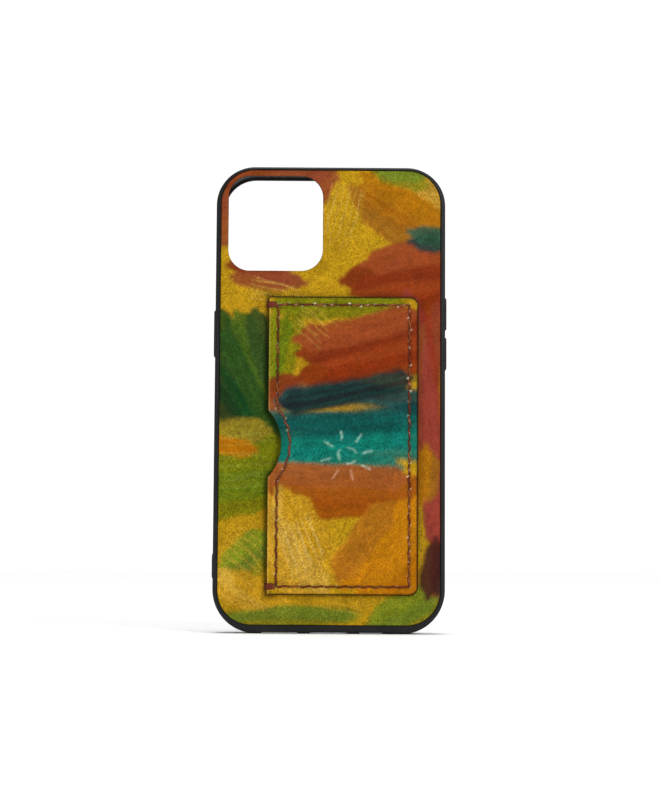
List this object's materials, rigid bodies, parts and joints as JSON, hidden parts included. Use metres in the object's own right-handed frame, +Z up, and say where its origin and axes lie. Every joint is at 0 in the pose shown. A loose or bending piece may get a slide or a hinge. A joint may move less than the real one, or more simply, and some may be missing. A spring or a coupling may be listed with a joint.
{
  "type": "phone case",
  "caption": "Slim bumper case for a 6.1-inch phone with a printed leather back, a stitched leather card pocket with a thumb notch, a camera window and sprung button covers.",
  "frame": {"origin": "bottom centre of the whole case, as it stands upright on its bottom edge", "axes": "+Z up the length of the case, +Y out of the side that the phone goes in from, +X to the right as seen from the leather back"},
  "size_m": [0.076, 0.0136, 0.1516],
  "materials": {
    "black_tpu": "matte moulded elastomer",
    "back_plate_plastic": "matte",
    "adhesive_film": "clear film",
    "microfibre": "short soft pile",
    "pocket_cloth": "fine woven",
    "printed_leather": "printed, grained, satin",
    "brown_thread": "twisted thread"
  },
  "bodies": {
    "case": {"bumper_frame": "black_tpu", "back_plate": "back_plate_plastic", "lining_adhesive": "adhesive_film", "microfibre_lining": "microfibre", "leather_adhesive": "adhesive_film", "back_leather": "printed_leather", "pocket_lining": "pocket_cloth", "pocket_panel": "printed_leather", "pocket_seam_thread": "brown_thread", "pocket_seam_bobbin_thread": "brown_thread", "mouth_topstitch_thread": "brown_thread", "mouth_bobbin_thread": "brown_thread", "bartack_top": "brown_thread", "bartack_bottom": "brown_thread"},
    "power_key": {"power_button": "black_tpu"},
    "volume_up_key": {"volume_up_button": "black_tpu"},
    "volume_down_key": {"volume_down_button": "black_tpu"}
  },
  "joints": [
    {"name": "power_press", "type": "slide", "parent": "case", "child": "power_key", "axis": [1, 0, 0], "range_m": [0, 0.0003], "stiffness_N_per_m": 2000},
    {"name": "volume_up_press", "type": "slide", "parent": "case", "child": "volume_up_key", "axis": [-1, 0, 0], "range_m": [0, 0.0003], "stiffness_N_per_m": 2000},
    {"name": "volume_down_press", "type": "slide", "parent": "case", "child": "volume_down_key", "axis": [-1, 0, 0], "range_m": [0, 0.0003], "stiffness_N_per_m": 2000}
  ]
}
